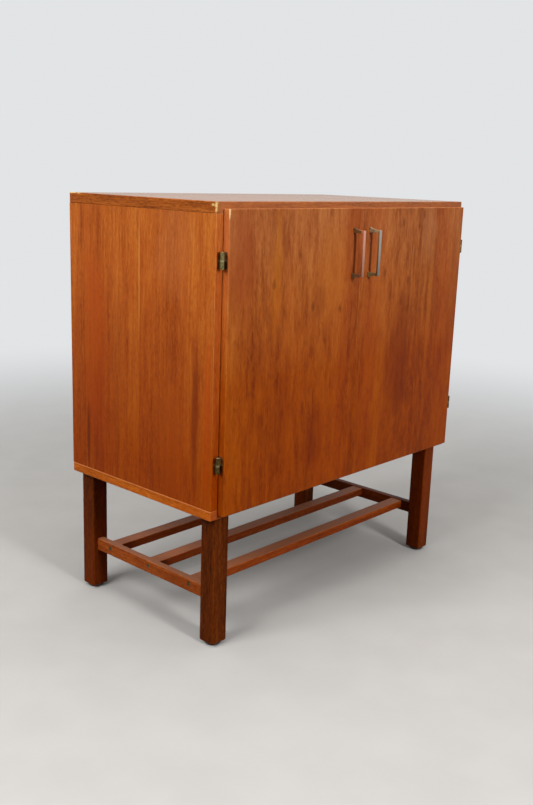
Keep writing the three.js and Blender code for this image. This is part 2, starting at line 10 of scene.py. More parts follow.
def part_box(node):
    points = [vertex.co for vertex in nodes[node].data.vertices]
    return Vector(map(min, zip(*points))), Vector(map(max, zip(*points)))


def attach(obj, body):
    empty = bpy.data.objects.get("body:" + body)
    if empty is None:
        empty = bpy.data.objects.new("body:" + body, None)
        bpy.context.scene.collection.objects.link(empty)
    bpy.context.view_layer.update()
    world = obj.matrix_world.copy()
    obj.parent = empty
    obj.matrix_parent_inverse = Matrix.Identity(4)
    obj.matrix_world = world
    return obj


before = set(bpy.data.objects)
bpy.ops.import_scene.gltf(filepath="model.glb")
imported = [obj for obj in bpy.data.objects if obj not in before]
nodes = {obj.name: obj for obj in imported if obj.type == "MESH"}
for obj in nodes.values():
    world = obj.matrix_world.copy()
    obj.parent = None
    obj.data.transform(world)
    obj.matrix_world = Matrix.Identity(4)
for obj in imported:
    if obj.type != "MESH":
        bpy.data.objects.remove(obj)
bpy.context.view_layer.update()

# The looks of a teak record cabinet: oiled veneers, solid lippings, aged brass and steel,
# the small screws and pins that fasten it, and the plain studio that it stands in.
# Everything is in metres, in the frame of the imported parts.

HANDS = (("left", -1), ("right", 1))
LEFT = (-1, 0, 0)
FRONT = (0, -1, 0)
BACK = (0, 1, 0)
UP = (0, 0, 1)
DOWN = (0, 0, -1)


# Colours and node trees

def paint(red, green, blue):
    """A screen colour, 0 to 255, as the linear colour that a shader takes."""
    def linear(part):
        part /= 255
        return part / 12.92 if part <= 0.04045 else ((part + 0.055) / 1.055) ** 2.4
    return (linear(red), linear(green), linear(blue), 1.0)


def alike(value):
    """The same value along all three axes, or in all three channels."""
    return (value, value, value)


# The mix node's sockets for each type of data: its two inputs and its output
MIX_SOCKETS = {"VECTOR": (4, 5, 1), "RGBA": (6, 7, 2)}


class Tree:
    """A node tree, with short calls for the nodes that are used here."""

    def __init__(self, node_tree):
        self.nodes = node_tree.nodes
        self.links = node_tree.links
        self.nodes.clear()

    def add(self, kind):
        return self.nodes.new(f"ShaderNode{kind}")

    def feed(self, socket, value):
        """Link a socket to another node's output, or set it to a value; None leaves it alone."""
        if isinstance(value, bpy.types.NodeSocket):
            self.links.new(value, socket)
        elif value is not None:
            socket.default_value = value

    def feed_all(self, node, *values):
        for socket, value in zip(node.inputs, values):
            self.feed(socket, value)

    def math(self, operation, first, second=None):
        node = self.add("Math")
        node.operation = operation
        self.feed_all(node, first, second)
        return node.outputs[0]

    def scaled(self, value, factor, offset):
        node = self.add("Math")
        node.operation = "MULTIPLY_ADD"
        self.feed_all(node, value, factor, offset)
        return node.outputs[0]

    def vector_math(self, operation, first, second=None, third=None):
        node = self.add("VectorMath")
        node.operation = operation
        self.feed_all(node, first, second, third)
        return node.outputs["Value" if operation == "LENGTH" else "Vector"]

    def parts(self, vector):
        node = self.add("SeparateXYZ")
        self.feed(node.inputs[0], vector)
        return node.outputs[:]

    def vector(self, x, y, z):
        node = self.add("CombineXYZ")
        self.feed_all(node, x, y, z)
        return node.outputs[0]

    def noise(self, place, detail, roughness=0.5, distortion=0.0):
        node = self.add("TexNoise")
        self.feed(node.inputs["Vector"], place)
        node.inputs["Scale"].default_value = 1.0
        node.inputs["Detail"].default_value = detail
        node.inputs["Roughness"].default_value = roughness
        node.inputs["Distortion"].default_value = distortion
        return node.outputs["Fac"]

    def chance(self, value):
        """A random number from 0 to 1 that stays the same for the same value."""
        node = self.add("TexWhiteNoise")
        node.noise_dimensions = "1D"
        self.feed(node.inputs["W"], value)
        return node.outputs["Value"]

    def span(self, value, start, end, low=0.0, high=1.0):
        """Value's way from start to end, eased at both, as a number from low to high."""
        node = self.add("MapRange")
        node.interpolation_type = "SMOOTHSTEP"
        self.feed_all(node, value, start, end, low, high)
        return node.outputs[0]

    def mixed(self, data_type, share, first, second, kind="MIX"):
        node = self.add("Mix")
        node.data_type = data_type
        node.blend_type = kind
        start, end, answer = MIX_SOCKETS[data_type]
        self.feed(node.inputs[0], share)
        self.feed(node.inputs[start], first)
        self.feed(node.inputs[end], second)
        return node.outputs[answer]

    def mix(self, share, first, second, kind="MIX"):
        """Two colours, mixed by a share."""
        return self.mixed("RGBA", share, first, second, kind)

    def tint(self, colour, share, amount, other, kind="MIX"):
        """A colour, mixed with another by a share of an amount."""
        return self.mix(self.math("MULTIPLY", share, amount), colour, other, kind)

    def ramp(self, value, *stops):
        """A colour from stops of (position, colour); a single stop is the same everywhere."""
        node = self.add("ValToRGB")
        self.feed(node.inputs[0], value)
        elements = node.color_ramp.elements
        while len(elements) < len(stops):
            elements.new(0.5)
        while len(elements) > len(stops):
            elements.remove(elements[-1])
        for element, (position, colour) in zip(elements, stops):
            element.position = position
            element.color = (*colour[:3], 1.0)
        return node.outputs[0]

    def bump(self, height, distance, strength):
        node = self.add("Bump")
        node.inputs["Strength"].default_value = strength
        node.inputs["Distance"].default_value = distance
        self.feed(node.inputs["Height"], height)
        return node.outputs[0]

    def plain(self, kind, colour, strength=None):
        """A shader of one colour, and of a strength if it gives light."""
        node = self.add(kind)
        self.feed(node.inputs["Color"], colour)
        if strength is not None:
            self.feed(node.inputs["Strength"], strength)
        return node.outputs[0]

    def mix_shaders(self, share, first, second):
        node = self.add("MixShader")
        self.feed_all(node, share, first, second)
        return node.outputs[0]


class Material(Tree):
    """A new material's node tree, with its shader, its output and the place on the piece."""

    def __init__(self, name):
        self.material = bpy.data.materials.new(name)
        self.material.use_nodes = True
        super().__init__(self.material.node_tree)
        self.output = self.add("OutputMaterial")
        self.shader = self.add("BsdfPrincipled")
        self.links.new(self.shader.outputs[0], self.output.inputs["Surface"])
        self.place = self.add("TexCoord").outputs["Object"]

    def cloud(self, counts, detail, roughness=0.5):
        """Noise over the piece; counts are its turns in a metre along x, y and z."""
        place = self.vector_math("MULTIPLY", self.place, counts)
        return self.noise(place, detail, roughness)

    def finish(self, colour, roughness, normal, **settings):
        self.feed(self.shader.inputs["Base Color"], colour)
        self.feed(self.shader.inputs["Roughness"], roughness)
        self.feed(self.shader.inputs["Normal"], normal)
        for name, value in settings.items():
            self.shader.inputs[name.replace("_", " ")].default_value = value
        return self.material


def centred(tree, value, amount):
    """A value from 0 to 1 as one from minus half to plus half of an amount."""
    return tree.math("MULTIPLY", tree.math("SUBTRACT", value, 0.5), amount)


def total(tree, *values):
    answer = values[0]
    for value in values[1:]:
        answer = tree.math("ADD", answer, value)
    return answer


# How squarely a surface has to look along a direction before it starts to count, and in full
FACED_EDGE = (0.5, 0.95)


def faced(tree, direction):
    """How squarely the surface looks along a direction: 1 full on, 0 from the side."""
    normal = tree.add("TexCoord").outputs["Normal"]
    along = total(tree, *tree.parts(tree.vector_math("MULTIPLY", normal, direction)))
    return tree.span(along, *FACED_EDGE)


def apply(node, material):
    for slot in nodes[node].material_slots:
        slot.material = material


# Wood

# A look has colours from dark to light, the worn colour of its arrises and a redder one,
# painted light by height, how far the grain sways in metres, how strong each layer of its figure
# is, and solid where the figure runs through the piece. The painted light makes the wood paler and
# hazier towards the top, where more light and sheen fall, and darker and redder lower down, in
# shade.
PLAIN = ((0.0, alike(1.0)), (1.0, alike(1.0)))
TEAK = dict(
    dark=paint(124, 50, 8), mid=paint(166, 80, 20), light=paint(190, 104, 30),
    worn=paint(208, 140, 78), red=paint(160, 60, 10),
    painted_light=(
        (0.30, (0.66, 0.50, 0.32)), (0.47, (0.74, 0.66, 0.60)),
        (0.60, (0.84, 0.86, 0.90)), (0.69, (0.90, 0.95, 1.0))),
    sway=0.008, band=0.8, flame=0.4, streak=0.70, fibre=0.60, speck=0.8,
    pores=0.6, blotch=0.0, blush=0.3, roughness=0.45, shine=0.07, wear=0.55, solid=True)
TEAK_SIDE = TEAK | dict(
    dark=paint(130, 54, 10), mid=paint(174, 84, 24), light=paint(198, 110, 36),
    painted_light=(
        (0.30, (0.59, 0.43, 0.06)), (0.47, (0.72, 0.67, 0.60)),
        (0.60, (0.88, 0.92, 1.10)), (0.69, (0.90, 1.03, 1.33))),
    sway=0.005, band=0.85, fibre=0.5, speck=0.6)
TEAK_FRONT = TEAK | dict(
    dark=paint(120, 52, 16), mid=paint(164, 87, 38), light=paint(188, 111, 54),
    painted_light=(
        (0.30, (0.70, 0.45, 0.02)), (0.44, (0.75, 0.53, 0.10)),
        (0.58, (0.92, 0.92, 0.72)), (0.68, (0.94, 1.06, 1.29))),
    sway=0.010, band=1.0, flame=0.85, streak=0.45, fibre=0.45, speck=0.55, blotch=0.3)
# The top's paler, greyer colours are partly its own and partly a painted sheen of the pale light
# that it reflects
TEAK_TOP = TEAK | dict(
    dark=paint(112, 66, 32), mid=paint(150, 98, 54), light=paint(172, 120, 72),
    red=paint(144, 80, 42), roughness=0.25, shine=0.36, sway=0.012)
TEAK_EDGE = TEAK | dict(
    dark=paint(107, 46, 11), mid=paint(163, 83, 26), light=paint(192, 110, 42),
    sway=0.004, band=0.6)
TEAK_LOWER_EDGE = TEAK_EDGE | dict(
    dark=paint(140, 64, 10), mid=paint(184, 96, 24), light=paint(208, 122, 42), painted_light=PLAIN)
DARK_LEG = TEAK_EDGE | dict(
    dark=paint(50, 18, 2), mid=paint(89, 37, 6), light=paint(120, 58, 16), painted_light=PLAIN,
    worn=paint(130, 74, 40), shine=0.03, wear=0.4, band=0.9, sway=0.006)
RACK = TEAK_EDGE | dict(
    dark=paint(88, 36, 6), mid=paint(130, 58, 14), light=paint(162, 84, 30), painted_light=PLAIN,
    worn=paint(190, 116, 62), wear=0.7)
BARE_PLY = TEAK_EDGE | dict(
    dark=paint(150, 108, 60), mid=paint(190, 148, 94), light=paint(214, 178, 124),
    worn=paint(226, 196, 150), red=paint(176, 120, 70),
    roughness=0.62, shine=0.2, wear=0.3, solid=False)
# A board whose edges are glued to lippings has no worn arris of its own
JOINED = dict(wear=0.0)


class Grain(NamedTuple):
    """Noise drawn out along the grain: its counts in a metre, and the noise node's settings."""
    across: float
    along: float
    seed: float = 0.0
    detail: float = 2.0
    roughness: float = 0.5
    distortion: float = 0.0


# How the grain sways, the layers of its figure, and the marks on it
SWAY = Grain(4.0, 1.1, 0.31)
FIGURE = dict(
    band=Grain(17.0, 0.55, 1, detail=3.0, roughness=0.55),
    flame=Grain(70.0, 15.0, 2, distortion=0.7),
    streak=Grain(175.0, 7.0, 3, detail=3.0, roughness=0.6),
    fibre=Grain(520.0, 42.0, 4),
    speck=Grain(430.0, 110.0, 8),
)
PORES = Grain(1500.0, 95.0, 5, detail=1.0)
BLUSH = Grain(11.0, 1.4, 6)
BLOTCH = Grain(60.0, 34.0, 7, detail=1.0)
# Where each of these marks starts to count, and where it counts in full
PORE_EDGE = (0.60, 0.74)
BLUSH_EDGE = (0.45, 0.72)
BLOTCH_EDGE = (0.70, 0.80)
# How far one step of the seed moves a layer
SEED_SHIFT = (7.31, 3.17, 1.93)
# How far apart neighbouring leaves of veneer lie in the figure, and how much their tone varies
LEAF_SHIFT = 1.713
LEAF_VARIETY = 0.10
# The tones at which the figure shows each colour in full
TONE_STOPS = dict(dark=0.12, mid=0.52, light=0.92)
# How the figure lifts the surface, and how it roughens it
WOOD_BUMP = dict(distance=0.00018, strength=0.6)
WOOD_RELIEF = dict(fibre=0.8, streak=0.6, pore=-0.7)
WOOD_ROUGHNESS = dict(streak=0.16, pore=0.12)

# Zones: their edge in shares of their size, and how often it is ragged across and along
ZONE_EDGE = (1.1, 0.35)
ZONE_RAGS = (0.6, 1.6)
ZONE_SEED = 10

# Worn arrises: how far in from the edge, the noise that makes that ragged and by how much,
# and the broad noise that says where along the edge
WEAR_REACH = (0.0010, 0.0002)
WEAR_CLOUD = (alike(140.0), 3.0)
WEAR_RAGS = 0.0016
RUBBED_CLOUD = (alike(9.0), 2.0)
RUBBED_EDGE = (0.38, 0.66)

# The frame's axes across, into and along the grain
LEFT_TO_RIGHT = "yzx"
FRONT_TO_BACK = "xzy"
UPRIGHT_ON_SIDE = "yxz"
UPRIGHT_ON_FRONT = "xyz"


def layer(tree, place, grain, seed):
    """One layer of the figure, at a place of its own for each seed."""
    shift = tuple((seed + grain.seed) * part for part in SEED_SHIFT)
    counts = (grain.across, grain.across, grain.along)
    scaled = tree.vector_math("MULTIPLY_ADD", place, counts, shift)
    return tree.noise(scaled, grain.detail, grain.roughness, grain.distortion)


def edge_distance(tree, low, high):
    """How far a point is from the nearest edge of a box: the middle one of its distances."""
    below = tree.vector_math("SUBTRACT", tree.place, tuple(low))
    above = tree.vector_math("SUBTRACT", tuple(high), tree.place)
    x, y, z = tree.parts(tree.vector_math("MINIMUM", below, above))
    nearer = tree.math("MINIMUM", x, y)
    farther = tree.math("MAXIMUM", x, y)
    return tree.math("MAXIMUM", nearer, tree.math("MINIMUM", farther, z))


def zone(tree, place, centre, size, seed, ragged=0.5):
    """An oval patch of the figure, drawn out along the grain, with ragged ends."""
    moved = tree.vector_math("SUBTRACT", place, (centre[0], 0.0, centre[1]))
    share = tree.vector_math("MULTIPLY", moved, (1 / size[0], 0.0, 1 / size[1]))
    rags = Grain(ZONE_RAGS[0] / size[0], ZONE_RAGS[1] / size[1], detail=3.0)
    rough = centred(tree, layer(tree, place, rags, seed), ragged * 2)
    return tree.span(tree.math("ADD", tree.vector_math("LENGTH", share), rough), *ZONE_EDGE)


def at_ends(tree, low, high):
    """1 where a lipping's mitred frame runs along the ends of its board, 0 along the front."""
    x, y, _ = tree.parts(tree.place)
    left = tree.math("SUBTRACT", x, low.x)
    right = tree.math("SUBTRACT", high.x, x)
    front = tree.math("SUBTRACT", y, low.y)
    return tree.math("LESS_THAN", tree.math("MINIMUM", left, right), front)


def grain_place(tree, node, order, look, mitred):
    """The place on the piece, with x, y and z across, into and along the grain."""
    axes = dict(zip("xyz", tree.parts(tree.place)))

    def turned(letters):
        across, deep, along = (axes[letter] for letter in letters)
        return tree.vector(across, deep if look["solid"] else 0.0, along)

    place = turned(order)
    if mitred:
        place = tree.mixed("VECTOR", at_ends(tree, *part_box(node)), place, turned(order[::-1]))
    return place


def swayed(tree, place, joints, look, seed):
    """A place in the figure, whose grain sways, and the number of its leaf of veneer."""
    across, deep, along = tree.parts(place)
    leaf = total(tree, 0.0, *(tree.math("GREATER_THAN", across, joint) for joint in joints))
    own = tree.math("MULTIPLY", leaf, LEAF_SHIFT)
    sway = centred(tree, layer(tree, place, SWAY, seed), look["sway"] * 4)
    return tree.vector(total(tree, across, sway, own), deep, along), leaf


def worn_arris(tree, node, look):
    """How worn the piece is near the edges of its box."""
    ragged = centred(tree, tree.cloud(*WEAR_CLOUD), WEAR_RAGS)
    edge = tree.math("ADD", edge_distance(tree, *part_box(node)), ragged)
    rubbed = tree.span(tree.cloud(*RUBBED_CLOUD), *RUBBED_EDGE)
    amount = tree.math("MULTIPLY", rubbed, look["wear"])
    return tree.math("MULTIPLY", tree.span(edge, *WEAR_REACH), amount)


def grain_colour(tree, bent, leaf, layers, look, seed):
    """The colour that the layers of the figure give together."""
    strengths = (centred(tree, layers[name], look[name]) for name in FIGURE)
    variety = centred(tree, tree.chance(tree.math("ADD", leaf, seed)), LEAF_VARIETY)
    tone = total(tree, 0.5, *strengths, variety)
    colour = tree.ramp(tone, *((stop, look[name]) for name, stop in TONE_STOPS.items()))
    blush = tree.span(layer(tree, bent, BLUSH, seed), *BLUSH_EDGE)
    return tree.tint(colour, blush, look["blush"], look["red"])


def marked(tree, colour, place, bent, pore, zones, look, seed):
    """The colour with its zones, its pores and its dark blotches."""
    for number, (centre, size, patch, amount) in enumerate(zones):
        share = zone(tree, place, centre, size, seed + ZONE_SEED + number)
        colour = tree.tint(colour, share, amount, patch)
    colour = tree.tint(colour, pore, look["pores"], look["dark"])
    if look["blotch"]:
        spot = tree.span(layer(tree, bent, BLOTCH, seed), *BLOTCH_EDGE)
        colour = tree.tint(colour, spot, look["blotch"], look["dark"])
    return colour


def oiled(tree, colour, layers, pore, look):
    """The finished material, whose figure shows in its relief and roughness too."""
    fibre, streak = layers["fibre"], layers["streak"]
    height = total(
        tree, centred(tree, fibre, WOOD_RELIEF["fibre"]),
        centred(tree, streak, WOOD_RELIEF["streak"]),
        tree.math("MULTIPLY", pore, WOOD_RELIEF["pore"]))
    rough = total(
        tree, look["roughness"], centred(tree, streak, WOOD_ROUGHNESS["streak"]),
        tree.math("MULTIPLY", pore, WOOD_ROUGHNESS["pore"]))
    bump = tree.bump(height, **WOOD_BUMP)
    return tree.finish(colour, rough, bump, Specular_IOR_Level=look["shine"])


def wood(name, node, look, order, seed, joints=(), zones=(), mitred=False, extra=None, faces=()):
    """Wood whose grain lies by an order of the frame's axes.

    Joints are where its leaves of veneer meet, across the grain. Zones are patches of
    another colour: a centre and size across and along the grain, a colour and its amount.
    Extra adds marks to the colour. Faces are sides that differ from the rest, by painted light
    and shade and by dust: a direction, colours by height, and the kind and amount of their mix.
    """
    tree = Material(name)
    place = grain_place(tree, node, order, look, mitred)
    bent, leaf = swayed(tree, place, joints, look, seed)
    layers = {part: layer(tree, bent, grain, seed) for part, grain in FIGURE.items()}
    pore = tree.span(layer(tree, bent, PORES, seed), *PORE_EDGE)
    colour = grain_colour(tree, bent, leaf, layers, look, seed)
    colour = marked(tree, colour, place, bent, pore, zones, look, seed)
    colour = tree.mix(worn_arris(tree, node, look), colour, look["worn"])
    if extra:
        colour = extra(tree, colour)
    z = tree.parts(tree.place)[2]
    # Painted light and shade on single faces, and dust on some tops
    for direction, painted_light, kind, amount in faces:
        colour = tree.tint(colour, faced(tree, direction), amount, tree.ramp(z, *painted_light), kind)
    # Painted light by height: paler and hazier towards the top, darker and redder lower down
    colour = tree.mix(1.0, colour, tree.ramp(z, *look["painted_light"]), "MULTIPLY")
    return oiled(tree, colour, layers, pore, look)


# Figure of the veneers on show, at places across and along the grain
SIDE_JOINTS = (-0.0563, 0.0137, 0.0777, 0.1567)
SIDE_ZONES = (
    ((0.1270, 0.455), (0.034, 0.190), paint(182, 76, 18), 0.45),
    ((0.0700, 0.460), (0.014, 0.230), paint(166, 88, 32), 0.28),
    ((0.1500, 0.300), (0.006, 0.090), paint(96, 34, 8), 0.65),
    ((-0.1200, 0.400), (0.010, 0.150), paint(118, 40, 10), 0.60),
    ((-0.1480, 0.390), (0.010, 0.150), paint(200, 84, 20), 0.50),
    ((-0.0700, 0.640), (0.060, 0.100), paint(198, 116, 58), 0.22),
    ((-0.0600, 0.340), (0.045, 0.120), paint(192, 98, 34), 0.50),
)
FRONT_PATCHES = (
    ((-0.2950, 0.630), (0.046, 0.110), paint(146, 62, 28), 0.50),
    ((-0.2130, 0.610), (0.014, 0.130), paint(188, 106, 36), 0.55),
    ((0.1320, 0.440), (0.042, 0.140), paint(120, 46, 14), 0.55),
    ((0.2230, 0.500), (0.009, 0.160), paint(188, 108, 46), 0.50),
    ((-0.0750, 0.610), (0.046, 0.110), paint(182, 100, 38), 0.40),
    ((-0.1750, 0.350), (0.022, 0.070), paint(184, 98, 30), 0.15),
    ((-0.1850, 0.410), (0.020, 0.100), paint(136, 60, 20), 0.35),
    ((-0.1100, 0.560), (0.022, 0.035), paint(128, 58, 22), 0.40),
    ((0.2050, 0.660), (0.030, 0.070), paint(178, 106, 58), 0.45),
    ((0.3020, 0.550), (0.020, 0.150), paint(132, 62, 28), 0.35),
    ((-0.1050, 0.325), (0.030, 0.070), paint(122, 46, 14), 0.40),
)
FRONT_SPOTS = (
    (-0.161, 0.638), (-0.220, 0.594), (-0.123, 0.552), (-0.051, 0.544), (0.187, 0.699),
    (0.122, 0.683), (0.073, 0.597), (0.147, 0.578), (0.129, 0.541))
SPOT_SIZE = (0.0055, 0.0100)
SPOT_COLOUR = paint(104, 46, 18)
SPOT_AMOUNT = 0.55
FRONT_ZONES = FRONT_PATCHES + tuple(
    (place, SPOT_SIZE, SPOT_COLOUR, SPOT_AMOUNT) for place in FRONT_SPOTS)

# A thread of pale sapwood down the upper half of the left side
SAPWOOD_ZONE = dict(centre=(0.0138, 0.600), size=(0.0016, 0.130), seed=41.0, ragged=0.6)
SAPWOOD = paint(214, 150, 62)
SAPWOOD_AMOUNT = 0.6

# Chips: the noise that makes them ragged and by how much, their edge in shares of their size,
# and the bare wood that shows in them
LIPPING_CHIPS = dict(
    cloud=(alike(620.0), 4.0), rags=3.0, edge=(1.15, 0.75), bare=paint(228, 190, 116), amount=0.85)
DOOR_CHIPS = dict(
    cloud=(alike(520.0), 3.0), rags=1.0, edge=(1.2, 0.6), bare=paint(226, 186, 122), amount=0.75)

# The bottom lipping's rubbed arris: how far below its top it starts, and where it is whole
ARRIS_REACH = (0.0022, 0.0008)
RUBBED_ARRIS = paint(206, 132, 78)
ARRIS_AMOUNT = 0.6


def side_streak(tree, colour):
    """The thread of sapwood on the left side panel."""
    _, y, z = tree.parts(tree.place)
    thread = zone(tree, tree.vector(y, 0.0, z), **SAPWOOD_ZONE)
    return tree.tint(colour, thread, SAPWOOD_AMOUNT, SAPWOOD)


def chipped(tree, colour, chips, cloud, rags, edge, bare, amount):
    """The colour with oval chips of bare wood, each of them a middle and half sizes."""
    ragged = centred(tree, tree.cloud(*cloud), rags)
    for middle, size in chips:
        moved = tree.vector_math("SUBTRACT", tree.place, middle)
        reach = tree.vector_math("LENGTH", tree.vector_math("DIVIDE", moved, size))
        share = tree.span(tree.math("ADD", reach, ragged), *edge)
        colour = tree.tint(colour, share, amount, bare)
    return colour


def cream_chips(tree, colour):
    """Chips at the left end of the top's lipping that bare pale wood."""
    low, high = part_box("top_lipping")
    chips = (
        ((low.x, low.y, high.z - 0.0045), (0.0030, 0.0030, 0.0055)),
        ((low.x, low.y, low.z + 0.0045), (0.0020, 0.0020, 0.0030)),
        ((low.x, high.y - 0.008, high.z), (0.0020, 0.0110, 0.0016)),
        ((low.x, high.y - 0.027, high.z), (0.0016, 0.0060, 0.0013)),
        ((low.x, low.y + 0.007, high.z - 0.005), (0.0010, 0.0030, 0.0016)),
    )
    return chipped(tree, colour, chips, **LIPPING_CHIPS)


def door_chip(tree, colour):
    """The front arris of the left door, chipped pale below its top corner."""
    low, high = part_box("left_door_lipping")
    chips = [((low.x, low.y, high.z - 0.004), (0.0022, 0.0022, 0.0110))]
    return chipped(tree, colour, chips, **DOOR_CHIPS)


def pale_arris(tree, colour):
    """The rubbed upper arris of the bottom's lipping, where it meets the side panel."""
    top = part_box("bottom_lipping")[1].z
    z = tree.parts(tree.place)[2]
    rubbed = tree.span(z, *(top - reach for reach in ARRIS_REACH))
    return tree.tint(colour, rubbed, ARRIS_AMOUNT, RUBBED_ARRIS)


def covered(direction, colour, amount):
    """A face that a colour covers by an amount."""
    return direction, ((0.5, colour),), "MIX", amount


def tinted(direction, *painted_light):
    """A face whose own colour is multiplied by colours by height: painted light and shade on it."""
    return direction, painted_light, "MULTIPLY", 1.0


# Faces of a piece that differ from the rest, nearly all by painted light and shade: the side
# lipping's front and the doors' outer edges get painted shade lower down and painted haze higher
# up, the edges at which the doors meet are painted lighter against the shade in their gap, the top
# lipping's front gets a painted sheen and the bottom lipping's front painted shade, the tops of the
# rack hold dust with a painted sheen, and the sides of rack and legs under the cabinet and the
# fronts of the slats further back are painted darker, as shade falls there
# Dust and a painted sheen on the upward faces of the rack
DUST_AND_SHEEN = paint(160, 112, 82)
# Painted shade lower down and painted haze higher up, on the side lipping's front and the doors'
# outer edges
SIDE_FRONT_LIGHT_AND_SHADE = tinted(FRONT, (0.30, (1.02, 0.88, 1.0)), (0.65, (1.0, 0.99, 1.3)))
DOOR_EDGE_LIGHT_AND_SHADE = ((0.28, (0.76, 0.66, 0.70)), (0.65, (1.18, 1.10, 1.05)))
# Painted light: the edges where the doors meet are lightened so that the shade in the gap between
# them hardly shows
DOOR_MEETING_LIGHT = (0.5, alike(1.7))
# Painted sheen: a pale cover on the front of the top's lipping
TOP_FRONT_SHEEN = covered(FRONT, paint(176, 118, 82), 0.3)
# Painted shade: the front of the bottom's lipping, darker than its lit ends
BOTTOM_FRONT_SHADE = covered(FRONT, paint(140, 55, 25), 0.6)
# The rails' tops take dust and a painted sheen; the right rail's top and inner side also get
# painted shade, as they lie under the cabinet
RAIL_DUST_AND_SHADE = {
    "left": [covered(UP, DUST_AND_SHEEN, 0.5)],
    "right": [covered(UP, DUST_AND_SHEEN, 0.1), tinted(UP, (0.5, (0.5, 0.45, 0.4))),
              tinted(LEFT, (0.5, (0.6, 0.5, 0.4)))],
}
# Painted light and shade on the slats' fronts: the front slat keeps its lit orange, those further
# under the cabinet are darkened
SLAT_FRONT_SHADE = {1: (1.0, 0.85, 0.65), 2: (0.62, 0.52, 0.42), 3: (0.58, 0.50, 0.42)}
# Painted shade on the side of the right legs that faces the space under the cabinet
LEG_INSIDE_SHADE = {"left": alike(1.0), "right": (0.80, 0.74, 0.70)}


def dress(node, look, order, seed, **details):
    """Give a node a wood of its own, whose seed is its place in the figure."""
    apply(node, wood(f"{node}_wood", node, look, order, seed, **details))


def dress_boards():
    dress("top_panel", TEAK_TOP | JOINED, LEFT_TO_RIGHT, seed=2.0)
    dress("bottom_panel", TEAK | JOINED, LEFT_TO_RIGHT, seed=3.0)
    dress("shelf", TEAK | JOINED, LEFT_TO_RIGHT, seed=4.0)
    dress("shelf_lipping", TEAK_EDGE, LEFT_TO_RIGHT, seed=13.0)
    dress("back_panel", BARE_PLY, UPRIGHT_ON_FRONT, seed=40.0)
    dress(
        "top_lipping", TEAK_EDGE, LEFT_TO_RIGHT, seed=11.0,
        mitred=True, extra=cream_chips, faces=[TOP_FRONT_SHEEN])
    dress(
        "bottom_lipping", TEAK_LOWER_EDGE, LEFT_TO_RIGHT, seed=12.0,
        mitred=True, extra=pale_arris, faces=[BOTTOM_FRONT_SHADE])
    for number in (1, 2, 3):
        dress(f"record_divider_{number}", TEAK, UPRIGHT_ON_SIDE, seed=34.0 + number)


def dress_side(hand, way):
    """A side panel and the lipping of its front edge, cut from the same leaves."""
    figure = dict(
        order=UPRIGHT_ON_SIDE, seed=5.0 + (way > 0), joints=SIDE_JOINTS,
        zones=SIDE_ZONES if way < 0 else ())
    dress(
        f"{hand}_side_panel", TEAK_SIDE | JOINED, extra=side_streak if way < 0 else None, **figure)
    dress(f"{hand}_side_lipping", TEAK_SIDE, faces=[SIDE_FRONT_LIGHT_AND_SHADE], **figure)


def dress_door(hand, way):
    """A door's board and its lippings; one sheet of veneer runs over both doors."""
    figure = dict(order=UPRIGHT_ON_FRONT, seed=9.0, zones=FRONT_ZONES)
    edges = [tinted((way, 0, 0), *DOOR_EDGE_LIGHT_AND_SHADE), tinted((-way, 0, 0), DOOR_MEETING_LIGHT)]
    dress(f"{hand}_door_panel", TEAK_FRONT | JOINED, **figure)
    dress(
        f"{hand}_door_lipping", TEAK_FRONT, extra=door_chip if way < 0 else None, faces=edges,
        **figure)


def dress_underframe():
    for number, (hand, _) in enumerate(HANDS):
        dress(
            f"{hand}_side_rail", RACK, FRONT_TO_BACK, seed=15.0 + number, faces=RAIL_DUST_AND_SHADE[hand])
        # Painted shade on the inward face of each leg
        inside_shade = tinted(LEFT, (0.5, LEG_INSIDE_SHADE[hand]))
        for place, end in enumerate(("front", "back")):
            dress(
                f"{hand}_{end}_leg", DARK_LEG, UPRIGHT_ON_FRONT, seed=20.0 + 2 * number + place,
                faces=[inside_shade])
    for number, front in SLAT_FRONT_SHADE.items():
        dress(
            f"slat_{number}", RACK, LEFT_TO_RIGHT, seed=30.0 + number,
            faces=[covered(UP, DUST_AND_SHEEN, 0.4), tinted(FRONT, (0.5, front))])


def dress_wood():
    dress_boards()
    for hand, way in HANDS:
        dress_side(hand, way)
        dress_door(hand, way)
    dress_underframe()


# Metal and plastic

# Noises: counts in a metre, detail and roughness
TARNISH_CLOUD = (alike(230.0), 4.0, 0.6)
HINGE_CLOUD = ((420.0, 420.0, 260.0), 3.0, 0.6)
SCRATCHES = (alike(1900.0), 2.0)
TARNISH_EDGE = (0.36, 0.66)
HINGE_TARNISH_EDGE = (0.38, 0.62)
METAL_BUMP = dict(distance=0.00003, strength=0.5)
# How much rougher scratches and tarnish make a metal
SCRATCH_ROUGHNESS = 0.12
TARNISH_ROUGHNESS = 0.22
HINGE_TARNISH_ROUGHNESS = 0.12
ARM_ROUGHNESS = 0.14


def aged_metal(name, bright, dark, roughness, cover=0.5):
    """Metal with cloudy tarnish."""
    tree = Material(name)
    cloud = tree.cloud(*TARNISH_CLOUD)
    fine = tree.cloud(*SCRATCHES)
    tarnish = tree.math("MULTIPLY", tree.span(cloud, *TARNISH_EDGE), cover)
    rough = total(
        tree, roughness, tree.math("MULTIPLY", tarnish, TARNISH_ROUGHNESS),
        centred(tree, fine, SCRATCH_ROUGHNESS))
    colour = tree.mix(tarnish, bright, dark)
    return tree.finish(colour, rough, tree.bump(fine, **METAL_BUMP), Metallic=1.0)


# How far from the pin's axis the look of a leaf's flat starts, and where it is whole
FLAT_REACH = (0.0034, 0.0039)
LEVELS = ("upper", "lower")
